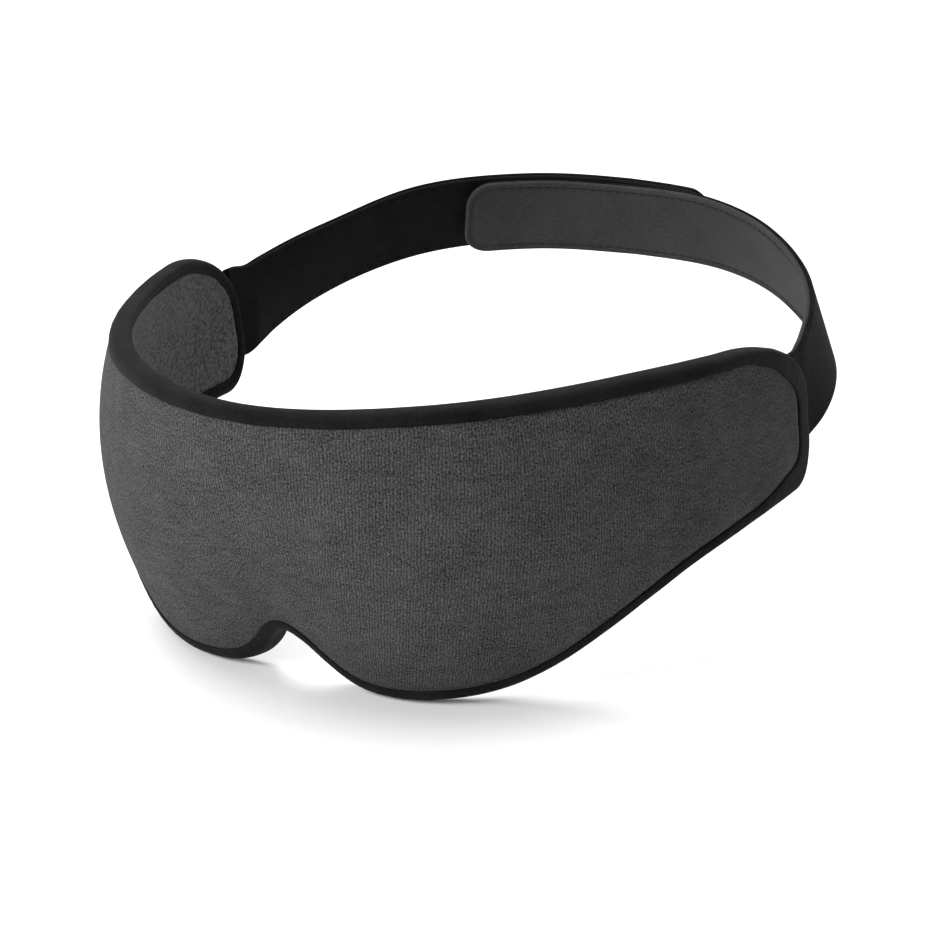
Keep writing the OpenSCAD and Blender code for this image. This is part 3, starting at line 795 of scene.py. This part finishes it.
def edge_binding():
    """The black tape folded round the whole edge: front lip, rounded edge and back lip."""
    path, at = outline()
    a, z, na, nz = path[:-1].T
    thick = EDGE_T + nose(a, z)
    front = lip(a - lip(a) * na / mm_per_deg(a))
    rng = np.random.default_rng(SEED + 2)
    s = at[:-1]
    total = at[-1]

    def loose(amount, waves):
        """Waves that close on themselves round the loop."""
        value = np.zeros_like(s)
        for _ in range(7):
            k = rng.integers(*waves)
            value = value + np.sin(2 * math.pi * k * s / total + rng.uniform(0, 2 * math.pi))
        return amount * value / 2.6

    pucker, wander, swell = loose(0.045, (110, 190)), loose(0.10, (12, 60)), loose(0.05, (25, 90))
    # inset from the edge and depth below the front face, from the front lip round to the back lip
    profile = [
        (front + wander, 0.62), (front + wander, 0.30), (front + wander - 0.25, -0.02),
        (front - 1.0, -0.14 + pucker), (front * 0.45 + 0.4, -0.18 + pucker), (0.95, -0.08 + swell),
        (0.28, 0.42), (-0.05, 1.25), (-0.16 + swell, thick / 2),
        (-0.05, thick - 1.25), (0.28, thick - 0.42), (0.95, thick + 0.08 + swell),
        (BACK_LIP * 0.5, thick + 0.16 + pucker), (BACK_LIP - 0.9, thick + 0.12 - pucker),
        (BACK_LIP - 0.15 - wander, thick + 0.02), (BACK_LIP + 0.05 - wander, thick - 0.30),
        (BACK_LIP + 0.05 - wander, thick - 0.62),
    ]
    section = soft_line(np.stack([np.stack(np.broadcast_arrays(*p, s)[:2], -1) for p in profile], 1), 49)
    i, d = section[..., 0], section[..., 1]
    points = wall(a[:, None] - i * na[:, None] / mm_per_deg(a)[:, None], z[:, None] - i * nz[:, None], d)
    across = np.concatenate([[0], np.cumsum(np.linalg.norm(np.diff(points[40], axis=0), axis=1))])
    cloth = np.stack([at[:, None] + 0 * across, across + 0 * at[:, None]], -1)
    outer = grid("edge_binding", points, cloth, MATERIAL["black_binding"], wrap=True)
    give_thickness(outer, 0.5)
    place_piece(outer, "mask",
                ["top_binding", "bottom_binding", "left_end_binding", "right_end_binding"])
    return path, at


def give_thickness(obj, thickness):
    """Turns a surface into a thin closed solid, on its inner side."""
    work = bmesh.new()
    work.from_mesh(obj.data)
    bmesh.ops.recalc_face_normals(work, faces=work.faces)
    work.to_mesh(obj.data)
    work.free()
    solid = obj.modifiers.new("thickness", "SOLIDIFY")
    solid.thickness = thickness * MM
    solid.offset = -1
    with bpy.context.temp_override(object=obj, active_object=obj, selected_objects=[obj]):
        bpy.ops.object.modifier_apply(modifier=solid.name)


# ---------------------------------------------------------------- threads
def threads(name, spots, slot, length, width, height):
    """Short raised stitches. Each spot is (middle, direction along, direction out), in millimetres."""
    rings, sides = 7, 8
    along = np.linspace(-1, 1, rings)
    radius = np.sqrt(np.maximum(0.04, 1 - np.abs(along) ** 3))
    angle = np.linspace(0, 2 * math.pi, sides, endpoint=False)
    middle, ahead, out = (np.array([s[k] for s in spots], float) for k in range(3))
    ahead /= np.linalg.norm(ahead, axis=1)[:, None]
    out -= ahead * (out * ahead).sum(1)[:, None]
    out /= np.linalg.norm(out, axis=1)[:, None]
    aside = np.cross(out, ahead)
    sink = -0.28 * along**2 * height
    lift = (radius[:, None] * np.sin(angle) * height / 2 + sink[:, None])[None, ..., None]
    reach = (along * length / 2)[None, :, None, None]
    breadth = (radius[:, None] * np.cos(angle) * width / 2)[None, ..., None]
    points = (middle[:, None, None] + ahead[:, None, None] * reach + out[:, None, None] * lift
              + aside[:, None, None] * breadth)
    faces, ends, uv = [], [], []
    dx, dy = length / (rings - 1), width * 0.4
    for base in range(0, len(spots) * rings * sides, rings * sides):
        for r in range(rings - 1):
            near = base + r * sides
            for k in range(sides):
                k2 = (k + 1) % sides
                faces.append([near + k, near + k2, near + sides + k2, near + sides + k])
                x, y = along[r] * length / 2, k * dy
                uv += [(x, y), (x, y + dy), (x + dx, y + dy), (x + dx, y)]
        last = base + (rings - 1) * sides
        ends += [[base + k for k in range(sides)][::-1], [last + k for k in range(sides)]]
    uv += [(0, 0)] * (sides * len(ends))
    faces = np.array(faces + ends, dtype=object)
    return make_mesh(name, points.reshape(-1, 3), faces, uv, MATERIAL[slot])


def lip_stitches(name, path, at, node, wanted):
    """Stitches along the back lip, at the places where wanted(angle, height) is true."""
    inset = BACK_LIP - 1.1

    def point(s, depth=0.0):
        a, z, na, nz = (np.interp(s % at[-1], at, path[:, k]) for k in range(4))
        t = EDGE_T + nose(a, z)
        return wall(a - inset * na / mm_per_deg(a), z - inset * nz, t + depth)

    spots = []
    for s in np.linspace(0, at[-1], int(at[-1] / 3.3), endpoint=False):
        if wanted(*(np.interp(s, at, path[:, k]) for k in range(2))):
            spots.append((point(s, 0.22), point(s + 0.5) - point(s - 0.5), point(s, 1.0) - point(s)))
    obj = threads(name, spots, "black_thread", 2.1, 0.42, 0.3)
    place_piece(obj, "mask", [node])


def seam_threads(path, at):
    """The row of stitches round the back lip. Those across each end also hold a strap's tail."""
    def end(a, z):
        """-1 across the left end, 1 across the right end, 0 elsewhere."""
        return np.sign(a) if abs(a) > LOWER_ANGLE and abs(z) < STRAP_W / 2 else 0

    for name, node, side in (("binding_stitches", "binding_stitching", 0),
                             ("right_anchor_stitches", "right_anchor_stitching", 1),
                             ("left_anchor_stitches", "left_anchor_stitching", -1)):
        lip_stitches(name, path, at, node, lambda a, z: end(a, z) == side)


# ---------------------------------------------------------------- the straps
SLAB_STEP = 0.8


def slab(name, right, q_from, q_to, face, back, slot, half, corner=0.0, rows=49, start_corner=False,
         line=band):
    """A length of strap between two angles. face(e, w) and back(e, w) give the depths of its two
    sides at distance e from its edge; both sides meet where e is 0. line places its points."""
    length = (q_to - q_from) * STRAP_MM
    count = max(12, int(length / SLAB_STEP))
    s = np.linspace(0, length, count)
    if corner:
        turn = np.linspace(0, 1, 16) * math.pi / 2
        s = np.concatenate([s[s < length - corner], length - corner + corner * np.sin(turn[1:])])
        if start_corner:
            s = np.concatenate([corner * (1 - np.cos(turn[:-1])), s[s > corner]])
    past = np.maximum(0, corner - (length - s))
    if start_corner:
        past = np.maximum(past, corner - s)
    h = half - (corner - np.sqrt(np.maximum(0, corner**2 - past**2)))
    if not corner:
        h = half + 0 * s
    across = np.sin(np.linspace(-1, 1, rows) * math.pi / 2)
    across = 0.5 * across + 0.5 * np.linspace(-1, 1, rows)
    w = h[:, None] * across[None, :]
    s2 = s[:, None] + 0 * w
    edge = half - np.abs(w)
    if corner:
        x, y = np.maximum(0, corner - (length - s2)), np.maximum(0, np.abs(w) - (half - corner))
        edge = np.minimum(edge, np.where((x > 0) & (y > 0), corner - np.hypot(x, y), length - s2))
        if start_corner:
            x = np.maximum(0, corner - s2)
            edge = np.minimum(edge, np.where((x > 0) & (y > 0), corner - np.hypot(x, y), s2))
    edge = np.maximum(edge, 0)
    q = q_from + s2 / STRAP_MM
    top, bottom = line(q, w, face(edge, w), right), line(q, w, back(edge, w), right)
    ring = np.concatenate([top, bottom[:, ::-1], top[:, :1]], 1)
    cloth = np.stack([q * STRAP_MM, w], -1)
    cloth = np.concatenate([cloth, cloth[:, ::-1], cloth[:, :1]], 1)
    return weld(grid(name, ring, cloth, MATERIAL[slot]), 0.01)


def rounded(edge, radius):
    """0 at the edge, 1 from radius inwards, along a quarter circle."""
    t = np.clip(edge / radius, 0, 1)
    return np.sqrt(np.maximum(0, 1 - (1 - t) ** 2))


WEB_OUT, WEB_IN = LAYER_T / 2, -LAYER_T / 2
LINING_OUT, LINING_IN = -LAYER_T / 2 - 0.05, -1.5 * LAYER_T - 0.05
LINING_MIDDLE = (LINING_OUT + LINING_IN) / 2
STITCH_ROW = 2.1


def web_face(e, w):
    return WEB_OUT * rounded(e, 0.6) + 0.05 * np.cos(w * math.pi / STRAP_W)


def web_back(e, w):
    return WEB_IN * rounded(e, 0.6)


def lining_face(e, w):
    """The grey lining's inner face: a rolled rim, a sewn groove, then a flat middle."""
    depth = (LINING_OUT - LINING_IN) / 2
    bead = 0.22 * np.exp(-(((e - 0.9) / 0.55) ** 2))
    groove = 0.34 * np.exp(-(((e - STITCH_ROW) / 0.55) ** 2))
    pillow = 0.10 * ease((e - 3) / 6)
    return LINING_MIDDLE - depth * rounded(e, 0.7) - bead + groove - pillow


def lining_back(e, w):
    return LINING_MIDDLE + (LINING_OUT - LINING_MIDDLE) * rounded(e, 0.5)


def pile_face(e, w):
    return LINING_MIDDLE + (LINING_IN - 0.08 - LINING_MIDDLE) * rounded(e, 0.8)


def strap_middle(q, right):
    """A point of the strap's middle line, in metres."""
    return Vector(band(q, 0.0, -0.6, right) * MM)


def zone(centre_q, reach_mm, right):
    """Where a blend starts and ends round a hinge at angle centre_q."""
    dq = reach_mm / STRAP_MM
    return strap_middle(centre_q - dq, right), strap_middle(centre_q + dq, right)


ROOT_ZONE = 1.7
FOLD_ZONE = 2.9
PEEL_ZONE = 7.0


def strap_parts(right):
    """The webbing and the lining of one strap, each in three lengths: the sewn anchor, the strap and its
    end.
    """
    side, end = ("right", "tab") if right else ("left", "tip")
    root_body, strap_body, end_body = f"{side}_root", f"{side}_strap", f"{side}_{end}"
    hinge, last, end_corner = (TAB_HINGE, TAB_END, 8.0) if right else (TIP_HINGE, TIP_END, 6.0)
    webbing = ("webbing", web_face, web_back, "elastic_webbing", STRAP_W / 2, -7.0)
    lining = ("loop_lining", pile_face, lining_back, "loop_pile", STRAP_W / 2, -6.0)
    if right:
        lining = ("lining", lining_face, lining_back, "grey_strap_lining", STRAP_W / 2 + 0.35, -6.0)
    root, reach = strap_middle(0.0, right), Vector((0, ROOT_ZONE * MM, 0))
    for kind, face, back, slot, half, first in (webbing, lining):
        for part, q_from, q_to, bodies, span in (
                ("anchor", first, ROOT_MIDDLE, ("mask", root_body), (root - reach, root + reach)),
                ("strap", ROOT_MIDDLE, STRAP_SPLIT, (root_body, strap_body),
                 zone(FOLD_ANGLE, FOLD_ZONE, right)),
                (end, STRAP_SPLIT, last, (strap_body, end_body), zone(hinge, PEEL_ZONE, right))):
            name = f"{side}_{part}_{kind}"
            nodes = [name]
            if part == "anchor":
                nodes = [f"{side}_strap_anchor", f"{side}_strap_root"] if kind == "webbing" else []
            corner = end_corner if part == end else 0.0
            obj = slab(f"{name}_cloth", right, q_from, q_to, face, back, slot, half, corner,
                       line=tail if part == "anchor" else band)
            if nodes:
                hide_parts(*nodes)
            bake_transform(obj)


def strap_stitches(name, right, q_from, q_to, depth, slot, node, pitch=3.0):
    """Rows of stitches along both edges of a strap's inner face."""
    spots = []
    for sign in (-1, 1):
        w = sign * (STRAP_W / 2 - STITCH_ROW + 0.35)
        for q in np.arange(q_from, q_to, pitch / STRAP_MM):
            here = band(q, w, depth, right)
            spots.append((here, band(q + 0.5, w, depth, right) - band(q - 0.5, w, depth, right),
                          band(q, w, depth - 1, right) - here))
    obj = threads(name, spots, slot, 2.0, 0.5, 0.4)
    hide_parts(node)
    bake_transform(obj)


# a hook is a short bent stalk with a wider head: the height, lean and half width of its sections
HOOK_SECTIONS = ((0.28, 0, 0.24), (0.5, 0.02, 0.17), (0.62, 0.16, 0.24), (0.68, 0.30, 0.12))
HOOK_PITCH = 1.25


def hook_piece():
    """The hook patch on the tab's outer face: a backing and rows of small hooks."""
    q_from, q_to = TAB_HINGE + 3, TAB_END - 2
    low = WEB_OUT + 0.05
    half = STRAP_W / 2 - 2.5
    base = slab("hook_backing", True, q_from, q_to, lambda e, w: low + 0.32 * rounded(e, 0.4),
                lambda e, w: low + 0 * e, "hook_tape", half, 5.0, start_corner=True, rows=21)
    points, faces, uv = [], [], []
    length = (q_to - q_from) * STRAP_MM
    for i, s in enumerate(np.arange(1.4, length - 1.2, HOOK_PITCH)):
        for w in np.arange(-half + 1.3, half - 1.2, HOOK_PITCH):
            w = w + (0.6 if i % 2 else 0)
            x, y = max(0, 5 - min(s, length - s)), max(0, abs(w) - (half - 5))
            if math.hypot(x, y) > 4.2:
                continue
            q = q_from + s / STRAP_MM
            for up, lean, size in HOOK_SECTIONS:
                for dx, dy in ((-1, -1), (1, -1), (1, 1), (-1, 1)):
                    points.append(band(q + (lean + dx * size) / STRAP_MM, w + dy * size, low + up, True))
            base_id = len(points) - 16
            for level in range(3):
                for k in range(4):
                    a, b = base_id + 4 * level + k, base_id + 4 * level + (k + 1) % 4
                    faces.append([a, b, b + 4, a + 4])
                    uv += [(0, 0), (0.3, 0), (0.3, 0.3), (0, 0.3)]
            faces.append([base_id + 12 + k for k in range(4)])
            uv += [(0, 0)] * 4
    hooks = make_mesh("hook_rows", points, faces, uv, MATERIAL["hook_tape"], smooth=False)
    weld(hooks, 0.001)
    place_piece(base, "right_tab", ["hook_patch"])
    place_piece(hooks, "right_tab", [])


def strap_details():
    """The stitches of both straps, of the grey tab and of the black tip."""
    fold_right, fold_left = zone(FOLD_ANGLE, FOLD_ZONE, True), zone(FOLD_ANGLE, FOLD_ZONE, False)
    peel = zone(TAB_HINGE, PEEL_ZONE, True)
    depth = LINING_IN + 0.12
    strap_stitches("right_strap_stitches_near", True, 5.0, STRAP_SPLIT, depth, "grey_thread",
                   "right_strap_stitching")
    strap_stitches("right_strap_stitches_far", True, STRAP_SPLIT, TAB_END - 6.5, depth, "grey_thread",
                   "right_tab_stitching")
    strap_stitches("left_strap_stitches", False, 7.5, 50, LINING_IN - 0.12, "black_thread",
                   "left_strap_stitching", 4.4)
    spots = []
    for row in (0, 1.6):
        for w in np.linspace(-8.4, 8.4, 8):
            q = TIP_END - 3 - row / STRAP_MM
            here = band(q, w, WEB_OUT + 0.14, False)
            spots.append((here, band(q, w + 0.5, 0, False) - band(q, w - 0.5, 0, False),
                          band(q, w, 1, False) - band(q, w, 0, False)))
    obj = threads("left_tip_stitches", spots, "black_thread", 2.0, 0.5, 0.4)
    place_piece(obj, "left_tip", ["left_tip_stitching"])


# ---------------------------------------------------------------- floor, light and camera
TARGET = Vector((0.0, -0.020, -0.022))
CAMERA_AZIMUTH, CAMERA_ELEVATION, CAMERA_DISTANCE = 28.8, 19.0, 0.620
FOCAL_PX = 2312.0
SHIFT_PX = (1.4, -16.4)
IMAGE_PX = 930


def camera():
    az, el = math.radians(CAMERA_AZIMUTH), math.radians(CAMERA_ELEVATION)
    back = Vector((math.sin(az) * math.cos(el), -math.cos(az) * math.cos(el), math.sin(el)))
    data = bpy.data.cameras.new("camera")
    data.sensor_width = 36
    data.lens = 36 * FOCAL_PX / IMAGE_PX
    data.shift_x, data.shift_y = SHIFT_PX[0] / IMAGE_PX, SHIFT_PX[1] / IMAGE_PX
    data.clip_start = 0.01
    obj = add_object("camera", data)
    obj.location = TARGET + back * CAMERA_DISTANCE
    obj.rotation_euler = back.to_track_quat("Z", "Y").to_euler()
    bpy.context.scene.camera = obj


def area_light(name, place, size, power):
    data = bpy.data.lights.new(name, "AREA")
    data.shape = "DISK"
    data.size = size
    data.energy = power
    obj = add_object(name, data)
    obj.location = place
    obj.rotation_euler = (Vector(place) - TARGET).to_track_quat("Z", "Y").to_euler()


def studio():
    """A pale floor that curves up behind the object, and soft light from the front left."""
    low = CAD_BOX[0][2] - 0.0006
    radius, near, far, half = 0.8, -1.6, 1.0, 3.0
    bend = [(far + radius * math.sin(t), low + radius * (1 - math.cos(t)))
            for t in np.linspace(0, math.pi / 2, 24)]
    line = [(near, low)] + bend + [(far + radius, 2.6)]
    points = [(x, y, z) for x in (-half, half) for y, z in line]
    count = len(line)
    faces = [(k, k + 1, count + k + 1, count + k) for k in range(count - 1)]
    mesh = bpy.data.meshes.new("floor")
    mesh.from_pydata(points, [], faces)
    mesh.polygons.foreach_set("use_smooth", [True] * len(faces))
    floor = add_object("floor", mesh)
    paper = Nodes("paper")
    grain = paper.noise(paper.space(), 3, 2)
    mesh.materials.append(paper.finish(paper.mix(grain, grey(0.90), grey(0.93)), 0.9))
    world = bpy.data.worlds.new("studio")
    bpy.context.scene.world = world
    world.use_nodes = True
    background = world.node_tree.nodes["Background"]
    background.inputs[0].default_value = (1, 1, 1, 1)
    background.inputs[1].default_value = 0.22
    area_light("key", (-0.85, -1.6, 1.0), 1.2, 48)
    area_light("top", (-0.4, 0.1, 1.5), 1.6, 32)
    bpy.context.scene.view_settings.view_transform = "Standard"


camera()
studio()
inner_layers()
jersey_cover()
soft_lining()
seam_threads(*edge_binding())
strap_parts(True)
strap_parts(False)
strap_details()
hook_piece()
